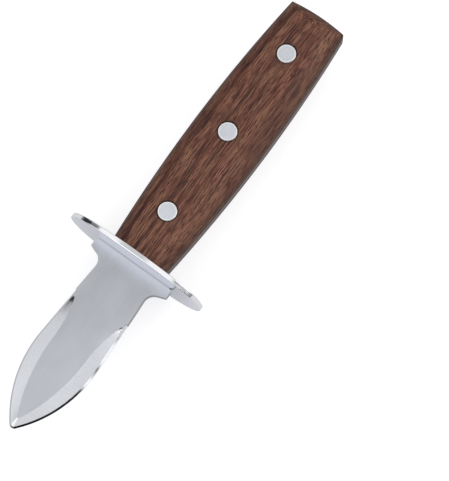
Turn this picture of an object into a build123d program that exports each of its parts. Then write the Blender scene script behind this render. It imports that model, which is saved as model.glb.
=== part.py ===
"""An oyster knife: a stiff steel blade ground along both edges, an oval hand guard, and a wooden handle of
two scales held on a full tang by three two-part rivets.

X runs along the guard, Y from the tip to the butt, and Z up through the flat of the blade. The origin is at
half the overall length, on the centre plane of the blade. All sizes are in millimetres."""

import os

from build123d import *

# Whole knife
overall_length = 170.8
blade_length = 66.1
plate_thickness = 3.0

# Shoulders and neck of the blade
shoulder_width = 30.6
shoulder_height = 3.4
shoulder_drop = 2.0
shoulder_corner_radius = 1.4
shoulder_fillet_radius = 3.8
neck_width = 19.4

# Ground part of the blade
belly_width = 22.9
belly_from_guard = 35.8
nose_radius = 1.6
edge_land = 0.4
edge_bevel_width = 0.6
edge_bevel_height = 0.55
bevel_from_guard = 17.9
bevel_width = 4.8
bevel_nose_setback = 3.6
bevel_nose_radius = 0.5

# Guard
guard_length = 52.8
guard_depth = 33.0
guard_thickness = 1.8
guard_end_radius = 14.5
guard_edge_radius = 0.35
slot_clearance = 0.1

# Handle
handle_widest_width = 26.0
handle_guard_taper = 5.2
handle_butt_taper = 4.5
handle_thickness = 19.2
handle_edge_radius = 7.6
butt_crown = 0.8
butt_corner_radius = 1.0
butt_edge_radius = 7.4
butt_ridge_radius = 3.0
butt_ridge_clearance = 0.3

# Rivets
rivet_from_guard = 17.2
rivet_from_butt = 19.2
rivet_head_diameter = 6.7
rivet_head_thickness = 1.6
rivet_head_chamfer = 0.25
rivet_head_gap = 0.12
sleeve_diameter = 4.2
sleeve_wall = 0.8
sleeve_front_gap = 2.0
sleeve_floor = 1.0
stud_end_gap = 0.6
stud_fit_clearance = 0.02
sleeve_hole_clearance = 0.1

# Places worked out from the sizes above
tip_y = -overall_length / 2
butt_y = overall_length / 2
guard_front_y = tip_y + blade_length
guard_back_y = guard_front_y + guard_thickness
shoulder_y = guard_front_y - shoulder_height
bevel_start_y = guard_front_y - bevel_from_guard
belly_y = guard_front_y - belly_from_guard
handle_guard_width = handle_widest_width - handle_guard_taper
handle_butt_width = handle_widest_width - handle_butt_taper
half_plate = plate_thickness / 2
half_handle = handle_thickness / 2
scale_thickness = half_handle - half_plate
sleeve_hole_radius = sleeve_diameter / 2 + sleeve_hole_clearance
first_rivet_y = guard_back_y + rivet_from_guard
last_rivet_y = butt_y - rivet_from_butt
middle_rivet_y = (first_rivet_y + last_rivet_y) / 2
rivet_places = {"guard_end": first_rivet_y, "middle": middle_rivet_y, "butt_end": last_rivet_y}

os.makedirs("parts", exist_ok=True)


def flared_half_width(y):
    """Half the blade's width at y, where its sides flare in straight lines from the neck to the belly."""
    flare_share = (shoulder_y - y) / (shoulder_y - belly_y)
    return neck_width / 2 + (belly_width - neck_width) / 2 * flare_share


def tangent_point(start, heading, round_centre, round_radius):
    """Where an arc that leaves start along heading runs smoothly into the round at a nose."""
    inward = heading.rotate(Axis.Z, -90)
    across = start - round_centre
    radius = (across.dot(across) - round_radius**2) / (-2 * (across.dot(inward) + round_radius))
    arc_centre = start + inward * radius
    return arc_centre + (round_centre - arc_centre).normalized() * radius


def ground_outline(inset):
    """The outline of the blade's ground part, drawn in by inset along its edge."""
    start = Vector(flared_half_width(bevel_start_y) - inset, bevel_start_y)
    belly = Vector(flared_half_width(belly_y) - inset, belly_y)
    heading = (belly - start).normalized()
    nose_centre = Vector(0, tip_y + nose_radius)
    nose_start = tangent_point(belly, heading, nose_centre, nose_radius - inset)
    with BuildSketch() as outline:
        with BuildLine():
            Line((0, bevel_start_y), start)
            Line(start, belly)
            TangentArc(belly, nose_start, tangent=heading)
            mirror(about=Plane.YZ)
            ThreePointArc(nose_start, (0, tip_y + inset), (-nose_start.X, nose_start.Y))
        make_face()
    return outline.sketch


def flat_outline():
    """The flat that is left between the two bevels on one face of the blade."""
    start = Vector(flared_half_width(bevel_start_y) - edge_bevel_width, bevel_start_y)
    waist = Vector(flared_half_width(belly_y) - bevel_width, belly_y)
    nose_y = tip_y + bevel_nose_setback
    nose_centre = Vector(0, nose_y + bevel_nose_radius)
    nose_start = tangent_point(waist, Vector(0, -1), nose_centre, bevel_nose_radius)
    with BuildSketch() as outline:
        with BuildLine():
            Line((0, bevel_start_y), start)
            TangentArc(waist, start, tangent=(0, 1))
            TangentArc(waist, nose_start, tangent=(0, -1))
            mirror(about=Plane.YZ)
            ThreePointArc(nose_start, (0, nose_y), (-nose_start.X, nose_start.Y))
        make_face()
    return outline.sketch


def shoulder_outline():
    """The shoulders that bear on the guard's front face, and the neck that they slope and curve in to."""
    with BuildSketch() as outline:
        with BuildLine():
            Polyline(
                (0, guard_front_y),
                (shoulder_width / 2, guard_front_y),
                (shoulder_width / 2, shoulder_y),
                (neck_width / 2, shoulder_y - shoulder_drop),
                (flared_half_width(bevel_start_y), bevel_start_y),
                (0, bevel_start_y),
            )
            mirror(about=Plane.YZ)
        make_face()
        fillet(vertices().group_by(Axis.Y)[1], shoulder_fillet_radius)
        fillet(vertices().group_by(Axis.Y)[-1], shoulder_corner_radius)
    return outline.sketch


def handle_outline(corner_radius):
    """The handle seen on its flat: swelling sides and a slightly crowned butt, its corners rounded or sharp."""
    guard_corner = Vector(handle_guard_width / 2, guard_back_y)
    butt_corner = Vector(handle_butt_width / 2, butt_y - butt_crown)
    swell = Vector(handle_widest_width / 2, (guard_back_y + butt_y) / 2)
    with BuildSketch() as outline:
        with BuildLine():
            Line((0, guard_back_y), guard_corner)
            ThreePointArc(guard_corner, swell, butt_corner)
            mirror(about=Plane.YZ)
            ThreePointArc(butt_corner, (0, butt_y), (-butt_corner.X, butt_corner.Y))
        make_face()
        if corner_radius > 0:
            fillet(vertices().group_by(Axis.Y)[-1], corner_radius)
    return outline.sketch


def section_reach(width):
    """How far from the handle's axis its rounded section reaches, where the handle is this wide."""
    round_centre = Vector(width / 2 - handle_edge_radius, half_handle - handle_edge_radius)
    return round_centre.length + handle_edge_radius + butt_ridge_clearance


def guard_outline():
    """The guard's oval: two long shallow arcs that run smoothly into tight rounded ends."""
    end_centre = guard_length / 2 - guard_end_radius
    half_depth = guard_depth / 2
    reach = end_centre**2 + half_depth**2 - guard_end_radius**2
    side_radius = reach / (2 * (half_depth - guard_end_radius))
    end_share = guard_end_radius / (side_radius - guard_end_radius)
    join_x = end_centre + end_centre * end_share
    join_y = (side_radius - half_depth) * end_share
    with BuildSketch() as outline:
        with BuildLine():
            ThreePointArc((-join_x, join_y), (0, half_depth), (join_x, join_y))
            ThreePointArc((join_x, join_y), (guard_length / 2, 0), (join_x, -join_y))
            mirror(about=Plane.YZ)
            ThreePointArc((join_x, -join_y), (0, -half_depth), (-join_x, -join_y))
        make_face()
    return outline.sketch


# The blade: one plate from the tip to the butt
half_land = edge_land / 2
bevel_foot = half_land + edge_bevel_height

with BuildPart() as blade:
    # One side of the ground part is built up from the centre plane, and mirrored to the other.
    with BuildSketch():
        add(ground_outline(0))
    extrude(amount=half_land)
    with BuildSketch(Plane.XY.offset(half_land)):
        add(ground_outline(0))
    with BuildSketch(Plane.XY.offset(bevel_foot)):
        add(ground_outline(edge_bevel_width))
    loft(ruled=True)
    with BuildSketch(Plane.XY.offset(bevel_foot)):
        add(ground_outline(edge_bevel_width))
    with BuildSketch(Plane.XY.offset(half_plate)):
        add(flat_outline())
    loft(ruled=True)
    mirror(about=Plane.XY)

    # Behind it the plate keeps its full thickness. The seat fills the guard's slot, and the tang has the
    # handle's own outline.
    with BuildSketch(Plane.XY.offset(-half_plate)):
        add(shoulder_outline())
    extrude(amount=plate_thickness)
    with BuildSketch(Plane(origin=(0, guard_front_y, 0), x_dir=(1, 0, 0), z_dir=(0, 1, 0))):
        Rectangle(handle_widest_width, plate_thickness)
    extrude(amount=guard_thickness)
    with BuildSketch(Plane.XY.offset(-half_plate)):
        add(handle_outline(butt_corner_radius))
    extrude(amount=plate_thickness)
    with Locations(*[(0, y, half_plate) for y in rivet_places.values()]):
        Hole(sleeve_hole_radius)

blade.part.label = "blade"
export_step(blade.part, "parts/blade.step")


# The guard: a polished oval plate with a slot that the tang is pushed through
with BuildPart() as guard:
    with BuildSketch(Plane(origin=(0, guard_front_y, 0), x_dir=(1, 0, 0), z_dir=(0, 1, 0))):
        add(guard_outline())
    extrude(amount=guard_thickness)
    fillet(faces().filter_by(Axis.Y).edges(), guard_edge_radius)
    with BuildSketch(Plane(origin=(0, guard_front_y, 0), x_dir=(1, 0, 0), z_dir=(0, 1, 0))):
        Rectangle(handle_widest_width + 2 * slot_clearance, plate_thickness + 2 * slot_clearance)
    extrude(amount=guard_thickness, mode=Mode.SUBTRACT)

guard.part.label = "guard"
export_step(guard.part, "parts/guard.step")


# The two scales: wooden slabs, well rounded along their sides but left square against the guard
crown_radius = ((handle_butt_width / 2) ** 2 + butt_crown**2) / (2 * butt_crown)

with BuildPart() as front_scale:
    with BuildSketch(Plane.XY.offset(half_plate)):
        add(handle_outline(0))
    extrude(amount=scale_thickness)
    side_edges = faces().sort_by(Axis.Z)[-1].edges().sort_by(Axis.Y)[1:-1]
    fillet(side_edges, handle_edge_radius)
    # A disc that is as wide as the butt's crown and has a rounded rim gives the butt its rounded edge.
    with BuildSketch(Plane.YZ):
        with Locations((butt_y - crown_radius / 2, half_plate + scale_thickness / 2)):
            Rectangle(crown_radius, scale_thickness)
        fillet(vertices().group_by(Axis.Y)[-1].sort_by(Axis.X)[-1], butt_edge_radius)
    revolve(axis=Axis((0, butt_y - crown_radius, 0), (0, 0, 1)), mode=Mode.INTERSECT)
    # A body turned about the handle's axis takes off the ridges where the side rounds meet the butt's round.
    with BuildSketch(Plane.XY):
        with BuildLine():
            guard_rim = Vector(section_reach(handle_guard_width), guard_back_y)
            swell_rim = Vector(section_reach(handle_widest_width), (guard_back_y + butt_y) / 2)
            butt_rim = Vector(section_reach(handle_butt_width), butt_y)
            Line((0, guard_back_y), guard_rim)
            ThreePointArc(guard_rim, swell_rim, butt_rim)
            Line(butt_rim, (0, butt_y))
            Line((0, butt_y), (0, guard_back_y))
        make_face()
        fillet(vertices().group_by(Axis.Y)[-1].sort_by(Axis.X)[-1], butt_ridge_radius)
    revolve(axis=Axis.Y, mode=Mode.INTERSECT)
    with BuildSketch(Plane.XY.offset(half_plate)):
        add(handle_outline(butt_corner_radius))
    extrude(amount=scale_thickness, mode=Mode.INTERSECT)
    with Locations(*[(0, y, half_handle) for y in rivet_places.values()]):
        CounterBoreHole(
            radius=sleeve_hole_radius,
            counter_bore_radius=rivet_head_diameter / 2 + rivet_head_gap,
            counter_bore_depth=rivet_head_thickness,
        )

front_scale.part.label = "front_scale"
export_step(front_scale.part, "parts/front_scale.step")

with BuildPart() as back_scale:
    mirror(front_scale.part, about=Plane.XY)

back_scale.part.label = "back_scale"
export_step(back_scale.part, "parts/back_scale.step")


# The rivets: from the front a stud with a solid shank, from the back a sleeve that the shank is pressed into
head_under = half_handle - rivet_head_thickness
sleeve_front = head_under - sleeve_front_gap
sleeve_bore_radius = sleeve_diameter / 2 - sleeve_wall
bore_depth = sleeve_front + half_handle - sleeve_floor
shank_length = head_under + half_handle - sleeve_floor - stud_end_gap

for place, y in rivet_places.items():
    with BuildPart() as stud:
        with BuildSketch(Plane(origin=(0, y, half_handle), z_dir=(0, 0, -1))):
            Circle(rivet_head_diameter / 2)
        extrude(amount=rivet_head_thickness)
        chamfer(edges().group_by(Axis.Z)[-1], rivet_head_chamfer)
        with BuildSketch(Plane(origin=(0, y, head_under), z_dir=(0, 0, -1))):
            Circle(sleeve_bore_radius - stud_fit_clearance)
        extrude(amount=shank_length)

    stud.part.label = "rivet_stud_" + place
    export_step(stud.part, "parts/" + stud.part.label + ".step")

    with BuildPart() as sleeve:
        with BuildSketch(Plane(origin=(0, y, -half_handle), z_dir=(0, 0, 1))):
            Circle(rivet_head_diameter / 2)
        extrude(amount=rivet_head_thickness)
        chamfer(edges().group_by(Axis.Z)[0], rivet_head_chamfer)
        with BuildSketch(Plane(origin=(0, y, -half_handle), z_dir=(0, 0, 1))):
            Circle(sleeve_diameter / 2)
        extrude(amount=half_handle + sleeve_front)
        with Locations((0, y, sleeve_front)):
            Hole(sleeve_bore_radius, depth=bore_depth)

    sleeve.part.label = "rivet_sleeve_" + place
    export_step(sleeve.part, "parts/" + sleeve.part.label + ".step")
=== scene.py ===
"""The looks of an oyster knife: satin ground blade, polished guard, dark hardwood scales and pale rivets.

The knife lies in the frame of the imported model, in metres: X along the guard, Y from tip to butt, and Z up
through the flat of the blade. Sizes in millimetres below say so in their names."""

import math

import bpy
from mathutils import Matrix, Vector


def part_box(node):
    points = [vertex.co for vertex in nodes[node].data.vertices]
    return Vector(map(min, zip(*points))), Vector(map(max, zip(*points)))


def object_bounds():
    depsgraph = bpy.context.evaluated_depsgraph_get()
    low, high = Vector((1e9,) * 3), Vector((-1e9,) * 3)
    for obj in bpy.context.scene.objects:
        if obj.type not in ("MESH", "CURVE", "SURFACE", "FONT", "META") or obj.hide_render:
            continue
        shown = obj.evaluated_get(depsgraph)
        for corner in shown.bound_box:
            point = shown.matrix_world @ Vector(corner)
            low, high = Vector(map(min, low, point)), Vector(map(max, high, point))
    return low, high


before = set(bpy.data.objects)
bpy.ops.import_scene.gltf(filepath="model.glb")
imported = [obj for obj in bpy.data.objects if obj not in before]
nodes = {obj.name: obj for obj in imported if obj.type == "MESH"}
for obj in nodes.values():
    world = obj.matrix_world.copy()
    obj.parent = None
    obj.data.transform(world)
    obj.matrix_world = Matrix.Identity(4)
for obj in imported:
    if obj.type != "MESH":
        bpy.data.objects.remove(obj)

MM = 0.001
cad_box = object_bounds()


# The camera stands half a metre off, a little towards the tip and to the knife's right-hand side, and is
# rolled so that the knife crosses the picture from lower left to upper right.
aim = Vector((19.2, 4.3, 0)) * MM
camera_distance = 500 * MM
picture_height_at_aim = 158.0 * MM
lean_right = math.radians(9.51)
lean_to_tip = math.radians(10.31)
roll = math.radians(36.66)

towards_camera = Vector(
    (
        math.sin(lean_right),
        -math.sin(lean_to_tip) * math.cos(lean_right),
        math.cos(lean_to_tip) * math.cos(lean_right),
    )
)
level = Vector((0, 1, 0)).cross(towards_camera).normalized()
upright = towards_camera.cross(level)
picture_right = level * math.cos(roll) + upright * math.sin(roll)
picture_up = upright * math.cos(roll) - level * math.sin(roll)

camera = bpy.data.objects.new("camera", bpy.data.cameras.new("camera"))
camera.data.lens = camera.data.sensor_width * camera_distance / picture_height_at_aim
camera.matrix_world = Matrix.Translation(aim + towards_camera * camera_distance) @ Matrix(
    (picture_right, picture_up, towards_camera)
).transposed().to_4x4()
bpy.context.scene.collection.objects.link(camera)
bpy.context.scene.camera = camera


# The blade is one plate of stainless steel from the tip to the butt. Its flats are satin from a fine belt
# run along the knife, and both edges are ground across it. The tang's rim is a dull line between the scales.
def add_node(tree, kind, feeds=None, **settings):
    """Adds a shader node. Each feed goes to a socket by name or number: values are set, outputs linked."""
    made = tree.nodes.new(kind)
    for setting, value in settings.items():
        setattr(made, setting, value)
    for socket, value in (feeds or {}).items():
        if isinstance(value, bpy.types.NodeSocket):
            tree.links.new(value, made.inputs[socket])
        else:
            made.inputs[socket].default_value = value
    return made


def reckon(tree, operation, *terms):
    """The result of one sum on numbers or sockets."""
    return add_node(tree, "ShaderNodeMath", dict(enumerate(terms)), operation=operation).outputs[0]


def fade(tree, value, start, end, low=0.0, high=1.0):
    """Low up to start, high from end, and a smooth rise or fall between them."""
    feeds = {0: value, 1: start, 2: end, 3: low, 4: high}
    return add_node(tree, "ShaderNodeMapRange", feeds, interpolation_type="SMOOTHSTEP").outputs[0]


def blend(tree, share, first, second):
    """The first number turned into the second by a share."""
    return add_node(tree, "ShaderNodeMix", {0: share, 2: first, 3: second}).outputs[0]


def reckon_vector(tree, operation, *terms):
    """The result of one sum on vectors. It is a number for LENGTH and a vector for the others."""
    made = add_node(tree, "ShaderNodeVectorMath", dict(enumerate(terms)), operation=operation)
    return made.outputs["Value" if operation == "LENGTH" else "Vector"]


def scale_up(tree, vector, factor):
    """A vector or colour times a number."""
    return add_node(tree, "ShaderNodeVectorMath", {0: vector, 3: factor}, operation="SCALE").outputs[0]


def raise_relief(tree, surface, height, depth, strength=1.0):
    """Roughens a surface with a height map whose full range is as deep as depth."""
    bump = add_node(tree, "ShaderNodeBump", {"Strength": strength, "Distance": depth, "Height": height})
    tree.links.new(bump.outputs[0], surface.inputs["Normal"])


def facing(tree, axis):
    """How squarely the surface faces along X, Y or Z (0, 1 or 2): 1 is square, either way round."""
    normal = add_node(tree, "ShaderNodeTexCoord").outputs["Normal"]
    return reckon(tree, "ABSOLUTE", add_node(tree, "ShaderNodeSeparateXYZ", {0: normal}).outputs[axis])


def cloud(tree, position, fineness=2.0, roughness=0.5):
    """Soft random tones between 0 and 1 at a position already divided by the size of a grain."""
    feeds = {"Vector": position, "Scale": 1.0, "Detail": fineness, "Roughness": roughness}
    return add_node(tree, "ShaderNodeTexNoise", feeds).outputs["Fac"]


def blend_colours(tree, share, first, second, way="MIX"):
    """The first colour turned into the second by a share."""
    feeds = {0: share, 6: first, 7: second}
    return add_node(tree, "ShaderNodeMix", feeds, data_type="RGBA", blend_type=way).outputs[2]


def new_effect(name, inputs, outputs):
    """An empty node group with named sockets. Returns the group, what it is given and what it puts out."""
    group = bpy.data.node_groups.new(name, "ShaderNodeTree")
    for socket_name, start in inputs.items():
        kind = "NodeSocketVector" if isinstance(start, tuple) else "NodeSocketFloat"
        group.interface.new_socket(socket_name, in_out="INPUT", socket_type=kind).default_value = start
    for socket_name, kind in outputs.items():
        group.interface.new_socket(socket_name, in_out="OUTPUT", socket_type=kind)
    return group, group.nodes.new("NodeGroupInput").outputs, group.nodes.new("NodeGroupOutput").inputs


def use_effect(tree, group, **inputs):
    """Places a node group and fills its inputs. Returns its outputs."""
    feeds = {name.replace("_", " "): value for name, value in inputs.items()}
    return add_node(tree, "ShaderNodeGroup", feeds, node_tree=group).outputs


def millimetres(tree):
    """The place on the knife in millimetres, and its three parts."""
    place = add_node(tree, "ShaderNodeTexCoord").outputs["Object"]
    scaled = scale_up(tree, place, 1 / MM)
    return scaled, add_node(tree, "ShaderNodeSeparateXYZ", {0: scaled}).outputs


def make_belt_lines():
    """The fine parallel scratches that a grinding or polishing belt leaves, in a coarse and a fine set."""
    group, given, made = new_effect(
        "belt lines",
        {"Position": (0.0, 0.0, 0.0), "Line size": (1.0, 1.0, 1.0)},
        {"Tone": "NodeSocketFloat"},
    )
    coarse_share, fine_share = 0.6, 0.4
    times_finer = 4.7
    divided = reckon_vector(group, "DIVIDE", given["Position"], given["Line size"])
    coarse = cloud(group, divided, fineness=3.0, roughness=0.6)
    fine = cloud(group, scale_up(group, divided, times_finer), fineness=1.0)
    both = reckon(group, "MULTIPLY_ADD", fine, fine_share, reckon(group, "MULTIPLY", coarse, coarse_share))
    group.links.new(both, made["Tone"])
    return group


belt_lines = make_belt_lines()


def start_material(name):
    """A new material. Returns it with its node tree and its surface shader."""
    material = bpy.data.materials.new(name)
    material.use_nodes = True
    return material, material.node_tree, material.node_tree.nodes["Principled BSDF"]


def dress(node_names, material):
    """Gives CAD nodes a finish through their own material slots."""
    for name in node_names:
        for slot in nodes[name].material_slots:
            slot.material = material


def make_blade_steel():
    """Satin flats lined lengthwise, bevels lined crosswise, dark walls beside the neck and a dull tang."""
    material, tree, surface = start_material("blade steel")
    flat_colour = (0.525, 0.54, 0.58, 1)
    bevel_colour = (0.645, 0.66, 0.70, 1)
    wall_colour = (0.27, 0.27, 0.285, 1)
    tang_colour = (0.22, 0.20, 0.19, 1)
    flat_roughness = 0.33
    bevel_roughness = 0.27
    honed_roughness = 0.12
    tang_roughness = 0.42
    # How squarely the steel faces up where each kind of face begins, and where it is fully that kind.
    bevel_facing = (0.9985, 0.993)
    honed_facing = (0.93, 0.85)
    wall_facing = (0.7, 0.5)

    lengthwise_line_mm = (0.16, 14.0, 0.16)
    crosswise_line_mm = (5.0, 0.14, 5.0)
    smudge_mm = (9.0, 16.0, 9.0)
    line_span, smudge_span = (0.2, 0.8), (0.3, 0.7)
    line_shades, smudge_shades = (0.93, 1.05), (0.97, 1.03)
    line_roughness, smudge_roughness = (-0.05, 0.06), (-0.03, 0.03)
    scratch_depth_mm = 0.004

    guard_front_mm, guard_back_mm = [corner.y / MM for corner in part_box("guard")]
    neck_length_mm = 18.1
    ground_from_mm = guard_front_mm - neck_length_mm
    # Painted shade: the steel darkens over the last half millimetre before the guard's front face, where the
    # blade meets the guard.
    corner_shade_reach_mm, corner_shade_level = 0.5, 0.72
    tang_starts_mm, tang_full_mm = guard_back_mm + 0.02, guard_back_mm + 0.1
    # The flat rolls over a little towards its right edge, and does so fully from the blade's belly on.
    rolled_depth_mm = 0.8
    roll_across_mm = (1.5, 12.5)
    roll_along_mm = (ground_from_mm - 4.0, ground_from_mm - 17.0)

    place, along = millimetres(tree)
    upward = facing(tree, 2)
    bevel = fade(tree, upward, *bevel_facing)
    tang = fade(tree, along[1], tang_starts_mm, tang_full_mm)
    neck_middle_mm = (ground_from_mm + guard_front_mm) / 2
    neck = reckon(tree, "COMPARE", along[1], neck_middle_mm, (guard_front_mm - ground_from_mm) / 2)
    wall = reckon(tree, "MULTIPLY", fade(tree, upward, *wall_facing), neck)

    lengthwise = use_effect(tree, belt_lines, Position=place, Line_size=lengthwise_line_mm)["Tone"]
    crosswise = use_effect(tree, belt_lines, Position=place, Line_size=crosswise_line_mm)["Tone"]
    lines = blend(tree, bevel, lengthwise, crosswise)
    smudges = cloud(tree, reckon_vector(tree, "DIVIDE", place, smudge_mm), fineness=3.0)

    colour = blend_colours(tree, bevel, flat_colour, bevel_colour)
    colour = blend_colours(tree, wall, colour, wall_colour)
    colour = blend_colours(tree, tang, colour, tang_colour)
    shade = fade(tree, lines, *line_span, *line_shades)
    shade = reckon(tree, "MULTIPLY", shade, fade(tree, smudges, *smudge_span, *smudge_shades))
    # Painted shade just in front of the guard, where the blade meets it.
    painted_corner_shade = fade(tree, along[1], guard_front_mm - corner_shade_reach_mm, guard_front_mm, 1.0, corner_shade_level)
    shade = reckon(tree, "MULTIPLY", shade, painted_corner_shade)
    tree.links.new(scale_up(tree, colour, shade), surface.inputs["Base Color"])

    roughness = blend(tree, bevel, flat_roughness, bevel_roughness)
    roughness = blend(tree, fade(tree, upward, *honed_facing), roughness, honed_roughness)
    roughness = blend(tree, tang, roughness, tang_roughness)
    roughness = reckon(tree, "ADD", roughness, fade(tree, lines, *line_span, *line_roughness))
    roughness = reckon(tree, "ADD", roughness, fade(tree, smudges, *smudge_span, *smudge_roughness))
    tree.links.new(roughness, surface.inputs["Roughness"])

    rolled = fade(tree, along[0], *roll_across_mm, 0.0, -rolled_depth_mm)
    rolled = reckon(tree, "MULTIPLY", rolled, fade(tree, along[1], *roll_along_mm))
    height = reckon(tree, "MULTIPLY_ADD", lines, scratch_depth_mm, rolled)
    raise_relief(tree, surface, height, MM)
    surface.inputs["Metallic"].default_value = 1.0
    return material


dress(["blade"], make_blade_steel())


# The guard is a stainless steel oval about 2 mm thick, polished all over. It is pushed along the tang until
# the blade's shoulders stop it, and shows the floor and the blade like a dull mirror.
def make_guard_steel():
    """Mirror polish with faint hairlines and the soft haze that handling leaves, and a painted highlight on
    the rim.
    """
    material, tree, surface = start_material("guard steel")
    face_colour = (0.785, 0.81, 0.91, 1)
    hazed_colour = (0.73, 0.755, 0.855, 1)
    # The rim's brighter colour is a painted highlight.
    rim_painted_highlight_colour = (0.90, 0.91, 0.935, 1)
    rim_highlight_facing = (0.9, 0.5)
    polish_roughness = 0.07
    haze_roughness = 0.06
    hairline_roughness = 0.05
    hairline_mm = (9.0, 0.2, 0.12)
    haze_mm = (5.0, 2.0, 5.0)
    hairline_depth = 0.0006 * MM

    place, _ = millimetres(tree)
    hairlines = use_effect(tree, belt_lines, Position=place, Line_size=hairline_mm)["Tone"]
    haze = cloud(tree, reckon_vector(tree, "DIVIDE", place, haze_mm), fineness=4.0)
    roughness = reckon(tree, "ADD", polish_roughness, fade(tree, haze, 0.35, 0.7, 0.0, haze_roughness))
    roughness = reckon(tree, "ADD", roughness, fade(tree, hairlines, 0.55, 0.8, 0.0, hairline_roughness))
    tree.links.new(roughness, surface.inputs["Roughness"])
    raise_relief(tree, surface, hairlines, hairline_depth)

    colour = blend_colours(tree, haze, face_colour, hazed_colour)
    # Painted highlight: the rim, away from the guard's two faces, is brightened.
    colour = blend_colours(tree, fade(tree, facing(tree, 1), *rim_highlight_facing), colour, rim_painted_highlight_colour)
    tree.links.new(colour, surface.inputs["Base Color"])
    surface.inputs["Metallic"].default_value = 1.0
    return material


dress(["guard"], make_guard_steel())


# The two scales are slabs of a dark, open-grained hardwood sawn along the grain, glued and riveted to the
# tang. They are sanded and oiled: the pores stay open, and the ends drink more oil and are darker.
def make_wood_grain():
    """Wood as one solid figure: rings about a distant pith, streaks and fibres along Y, and open pores."""
    group, given, made = new_effect(
        "wood grain",
        {"Board place": (0.0, 0.0, 0.0)},
        dict.fromkeys(("Tone", "Figure", "Pores", "Fibres"), "NodeSocketFloat"),
    )
    drift_mm = (14.0, 38.0, 14.0)
    drift_reach_mm = (2.6, 0.0, 2.6)
    pith_mm = (-21.0, 0.0, -34.0)
    rings_per_mm = 0.75
    streak_mm = (0.30, 13.0, 0.30)
    fibre_mm = (0.19, 5.5, 0.19)
    figure_mm = (2.6, 12.0, 2.6)
    pore_mm = (0.34, 3.2, 0.34)
    streak_share, fibre_share, ring_share, figure_share = 0.42, 0.32, 0.16, 0.12
    fewest_pores, most_pores = 0.20, 0.34
    pore_edge = 0.1

    here, _ = millimetres(group)
    moved = reckon_vector(group, "ADD", here, given["Board place"])
    drifting = {"Vector": reckon_vector(group, "DIVIDE", moved, drift_mm), "Scale": 1.0}
    drift = add_node(group, "ShaderNodeTexNoise", drifting).outputs["Color"]
    centred = reckon_vector(group, "SUBTRACT", drift, (0.5, 0.5, 0.5))
    wandered = reckon_vector(group, "MULTIPLY_ADD", centred, drift_reach_mm, moved)

    from_pith = reckon_vector(group, "SUBTRACT", wandered, pith_mm)
    across = reckon_vector(group, "MULTIPLY", from_pith, (1.0, 0.0, 1.0))
    ringing = {"W": reckon_vector(group, "LENGTH", across), "Scale": rings_per_mm, "Detail": 3.0}
    rings = add_node(group, "ShaderNodeTexNoise", ringing, noise_dimensions="1D").outputs["Fac"]

    streak_place = reckon_vector(group, "DIVIDE", wandered, streak_mm)
    streaks = cloud(group, streak_place, fineness=4.0, roughness=0.66)
    fibres = cloud(group, reckon_vector(group, "DIVIDE", wandered, fibre_mm), fineness=2.0)
    figure = cloud(group, reckon_vector(group, "DIVIDE", wandered, figure_mm), fineness=3.0)
    tone = reckon(group, "MULTIPLY", rings, ring_share)
    tone = reckon(group, "MULTIPLY_ADD", streaks, streak_share, tone)
    tone = reckon(group, "MULTIPLY_ADD", fibres, fibre_share, tone)
    tone = reckon(group, "MULTIPLY_ADD", figure, figure_share, tone)

    scattered = {"Vector": reckon_vector(group, "DIVIDE", wandered, pore_mm), "Scale": 1.0}
    nearest = add_node(group, "ShaderNodeTexVoronoi", scattered).outputs["Distance"]
    crowding = fade(group, rings, 0.35, 0.65, fewest_pores, most_pores)
    pores = fade(group, reckon(group, "SUBTRACT", nearest, crowding), 0.0, -pore_edge)

    group.links.new(tone, made["Tone"])
    group.links.new(figure, made["Figure"])
    group.links.new(pores, made["Pores"])
    group.links.new(fibres, made["Fibres"])
    return group


wood_grain = make_wood_grain()


def make_rivet_reach():
    """How far a point lies outside the nearest rivet head's rim, in millimetres: below 0 on the head."""
    group, _, made = new_effect("rivet reach", {}, {"Beyond rim": "NodeSocketFloat"})
    here, _ = millimetres(group)
    nearest = None
    for name in nodes:
        if name.startswith("rivet_stud_"):
            low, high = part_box(name)
            centre = (low + high) / 2 / MM
            offset = reckon_vector(group, "SUBTRACT", here, centre)
            flat = reckon_vector(group, "MULTIPLY", offset, (1.0, 1.0, 0.0))
            head_radius_mm = (high.x - low.x) / 2 / MM
            reach = reckon(group, "SUBTRACT", reckon_vector(group, "LENGTH", flat), head_radius_mm)
            nearest = reach if nearest is None else reckon(group, "MINIMUM", nearest, reach)
    group.links.new(nearest, made["Beyond rim"])
    return group


rivet_reach = make_rivet_reach()


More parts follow.
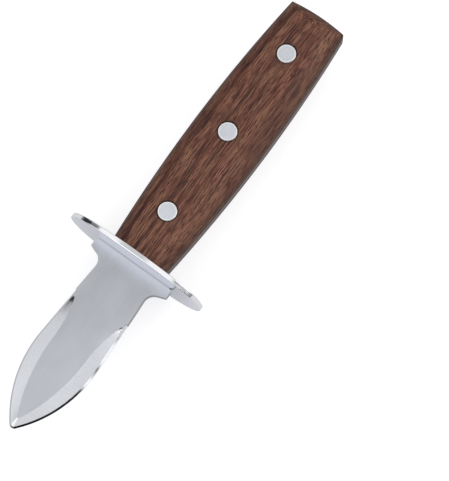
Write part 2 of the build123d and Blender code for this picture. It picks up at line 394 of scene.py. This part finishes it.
def make_handle_wood(name, board_place):
    """Oiled dark reddish-brown wood with lighter and darker streaks."""
    material, tree, surface = start_material(name)
    streak_colours = (
        (0.41, (0.014, 0.006, 0.008, 1)),
        (0.46, (0.068, 0.024, 0.015, 1)),
        (0.51, (0.132, 0.048, 0.028, 1)),
        (0.57, (0.262, 0.122, 0.074, 1)),
    )
    pore_colour = (0.016, 0.008, 0.007, 1)
    pore_strength = 0.8
    ruddy_tint = (0.96, 0.875, 0.93, 1)
    brown_tint = (0.90, 0.91, 0.89, 1)
    end_grain_facing, end_grain_shade = (0.5, 0.95), 0.55
    # Painted shade: the wood is darker where its rounded sides turn away from the face.
    painted_side_shade_facing, painted_side_shade = (0.2, 0.95), 0.62
    # Painted shade: a dark ring on the wood round each rivet head, where the gap falls in shadow.
    gap_shade_mm, gap_shade_level = (0.1, 0.6), 0.35
    dark_roughness, pale_roughness = 0.62, 0.50
    pore_roughness = 0.25
    pore_depth = 0.10 * MM
    relief_strength = 0.7
    fibre_relief = 0.14
    oil_refraction = 1.48
    sheen_off_oil = 0.3

    grain = use_effect(tree, wood_grain, Board_place=board_place)
    ramp = add_node(tree, "ShaderNodeValToRGB", {0: grain["Tone"]})
    stops = ramp.color_ramp.elements
    while len(stops) < len(streak_colours):
        stops.new(1.0)
    for stop, (place, colour) in zip(stops, streak_colours):
        stop.position = place
        stop.color = colour
    open_pores = reckon(tree, "MULTIPLY", grain["Pores"], pore_strength)
    colour = blend_colours(tree, open_pores, ramp.outputs[0], pore_colour)

    darker = fade(tree, facing(tree, 1), *end_grain_facing, 1.0, end_grain_shade)
    # Painted shade on the rounded sides.
    darker = reckon(tree, "MULTIPLY", darker, fade(tree, facing(tree, 2), *painted_side_shade_facing, painted_side_shade, 1.0))
    # Painted shade in a thin ring just outside each rivet head.
    painted_gap_shade = fade(tree, use_effect(tree, rivet_reach)["Beyond rim"], *gap_shade_mm, gap_shade_level, 1.0)
    darker = reckon(tree, "MULTIPLY", darker, painted_gap_shade)
    tint = blend_colours(tree, fade(tree, grain["Figure"], 0.4, 0.6), ruddy_tint, brown_tint)
    colour = blend_colours(tree, 1.0, colour, tint, way="MULTIPLY")
    tree.links.new(scale_up(tree, colour, darker), surface.inputs["Base Color"])

    roughness = fade(tree, grain["Tone"], 0.35, 0.65, dark_roughness, pale_roughness)
    roughness = reckon(tree, "MULTIPLY_ADD", grain["Pores"], pore_roughness, roughness)
    tree.links.new(roughness, surface.inputs["Roughness"])

    sunk = reckon(tree, "MULTIPLY", grain["Pores"], -1.0)
    relief = reckon(tree, "MULTIPLY_ADD", grain["Fibres"], fibre_relief, sunk)
    raise_relief(tree, surface, relief, pore_depth, relief_strength)
    surface.inputs["IOR"].default_value = oil_refraction
    surface.inputs["Specular IOR Level"].default_value = sheen_off_oil
    return material


back_board_mm = (31.0, 240.0, 12.0)
dress(["front_scale"], make_handle_wood("front scale wood", (0.0, 0.0, 0.0)))
dress(["back_scale"], make_handle_wood("back scale wood", back_board_mm))


# The three rivets are studs pressed into sleeves from the other side. Their heads lie in counterbores and
# were sanded flush with the wood. Their eased rims carry a painted highlight.
def make_rivet_metal():
    """Pale satin metal, brushed with the wood, with a painted highlight on the eased rim of each head."""
    material, tree, surface = start_material("rivet metal")
    scratch_colour = (0.60, 0.62, 0.67, 1)
    face_colour = (0.83, 0.85, 0.88, 1)
    haze_colour = (0.76, 0.79, 0.86, 1)
    # The rim colour is a painted highlight on the eased rim.
    rim_painted_highlight_colour = (0.96, 0.965, 0.97, 1)
    rim_highlight_mm = (-0.75, -0.4)
    line_mm = (0.12, 3.0, 0.12)
    haze_mm = (1.6, 1.2, 1.6)
    haze_strength = 0.5
    smooth_roughness, lined_roughness = 0.3, 0.42
    scratch_depth = 0.002 * MM

    place, _ = millimetres(tree)
    lines = use_effect(tree, belt_lines, Position=place, Line_size=line_mm)["Tone"]
    # A painted highlight covers the eased rim of each head.
    rim = fade(tree, use_effect(tree, rivet_reach)["Beyond rim"], *rim_highlight_mm)
    haze = cloud(tree, reckon_vector(tree, "DIVIDE", place, haze_mm), fineness=3.0)
    face = blend_colours(tree, fade(tree, lines, 0.25, 0.75), scratch_colour, face_colour)
    face = blend_colours(tree, fade(tree, haze, 0.35, 0.65, 0.0, haze_strength), face, haze_colour)
    tree.links.new(blend_colours(tree, rim, face, rim_painted_highlight_colour), surface.inputs["Base Color"])
    roughness = fade(tree, lines, 0.2, 0.8, smooth_roughness, lined_roughness)
    tree.links.new(roughness, surface.inputs["Roughness"])
    raise_relief(tree, surface, lines, scratch_depth)
    surface.inputs["Metallic"].default_value = 1.0
    return material


dress([name for name in nodes if name.startswith("rivet_")], make_rivet_metal())


# The stage is a white floor under the lowest point of the guard, in a pale room. Soft panels, some light
# and some dark, stand around the knife, and polished edges show them as bright and dark streaks.
def make_floor():
    """A wide floor that keeps the shadow. It is lifted to white for the camera, and less for the metal."""
    half_width = 3.0
    paper_colour = (0.50, 0.50, 0.515, 1)
    seen_lift = 0.68
    mirrored_lift = 0.25
    floor_z = cad_box[0].z
    corners = [(x, y, floor_z) for x, y in ((-1, -1), (1, -1), (1, 1), (-1, 1))]
    corners = [(x * half_width, y * half_width, z) for x, y, z in corners]
    mesh = bpy.data.meshes.new("floor")
    mesh.from_pydata(corners, [], [(0, 1, 2, 3)])
    floor = bpy.data.objects.new("floor", mesh)
    bpy.context.scene.collection.objects.link(floor)

    material = bpy.data.materials.new("white floor")
    material.use_nodes = True
    tree = material.node_tree
    tree.nodes.clear()
    ray = add_node(tree, "ShaderNodeLightPath").outputs
    mirrored = reckon(tree, "MAXIMUM", ray["Is Glossy Ray"], ray["Is Transmission Ray"])
    lift = reckon(tree, "MULTIPLY", mirrored, mirrored_lift)
    lift = reckon(tree, "MULTIPLY_ADD", ray["Is Camera Ray"], seen_lift, lift)
    paper = add_node(tree, "ShaderNodeBsdfDiffuse", {"Color": paper_colour})
    glow = add_node(tree, "ShaderNodeEmission", {"Strength": lift})
    both = add_node(tree, "ShaderNodeAddShader", {0: paper.outputs[0], 1: glow.outputs[0]})
    add_node(tree, "ShaderNodeOutputMaterial", {0: both.outputs[0]})
    mesh.materials.append(material)


def make_panel(tree, heading, spans, softness):
    """Where a panel of the room is seen: 1 inside its spans of heading, and softly down to 0 round them."""
    inside = 1.0
    for part, (start, end) in zip(heading, spans):
        inside = reckon(tree, "MULTIPLY", inside, fade(tree, part, start - softness, start + softness))
        inside = reckon(tree, "MULTIPLY", inside, fade(tree, part, end + softness, end - softness))
    return inside


def make_surround():
    """White to the camera. Everything else sees the pale room, its panels and its dark lower part."""
    low_tone, high_tone = 0.22, 1.0
    low_below, high_above = 0.05, 0.6
    # Each panel has its spans of heading along X, Y and Z, its softness and its tone. Later ones cover
    # earlier ones.
    panels = (
        ((-0.40, 0.02), (0.0, 0.75), (0.0, 1.5), 0.08, 0.62),
        ((-0.50, -0.02), (-0.60, -0.09), (0.0, 1.5), 0.05, 1.7),
        ((0.62, 1.5), (-0.07, 0.06), (0.10, 0.85), 0.03, 1.6),
        ((0.42, 1.5), (0.08, 0.155), (0.38, 0.90), 0.02, 0.34),
        ((0.42, 1.5), (0.18, 0.90), (0.05, 0.90), 0.03, 2.1),
        ((-1.5, -0.76), (-1.5, 1.5), (0.10, 0.48), 0.04, 0.06),
        ((-1.5, -0.69), (0.02, 0.24), (0.16, 0.74), 0.03, 0.20),
        ((-1.5, -0.78), (0.02, 0.24), (0.16, 0.66), 0.03, 0.03),
        ((0.25, 1.5), (-1.5, -0.09), (-1.5, 0.46), 0.03, 0.02),
    )

    world = bpy.data.worlds.new("surround")
    bpy.context.scene.world = world
    world.use_nodes = True
    tree = world.node_tree
    background = tree.nodes["Background"]
    looking = add_node(tree, "ShaderNodeTexCoord").outputs["Generated"]
    heading = add_node(tree, "ShaderNodeSeparateXYZ", {0: looking}).outputs
    tone = fade(tree, heading[2], low_below, high_above, low_tone, high_tone)
    for x_span, y_span, z_span, softness, panel_tone in panels:
        panel = make_panel(tree, heading, (x_span, y_span, z_span), softness)
        tone = blend(tree, panel, tone, panel_tone)
    seen = add_node(tree, "ShaderNodeLightPath").outputs["Is Camera Ray"]
    tree.links.new(blend(tree, seen, tone, 1.0), background.inputs["Strength"])
    background.inputs["Color"].default_value = (1, 1, 1, 1)


make_floor()
make_surround()
bpy.context.scene.view_settings.view_transform = "Standard"
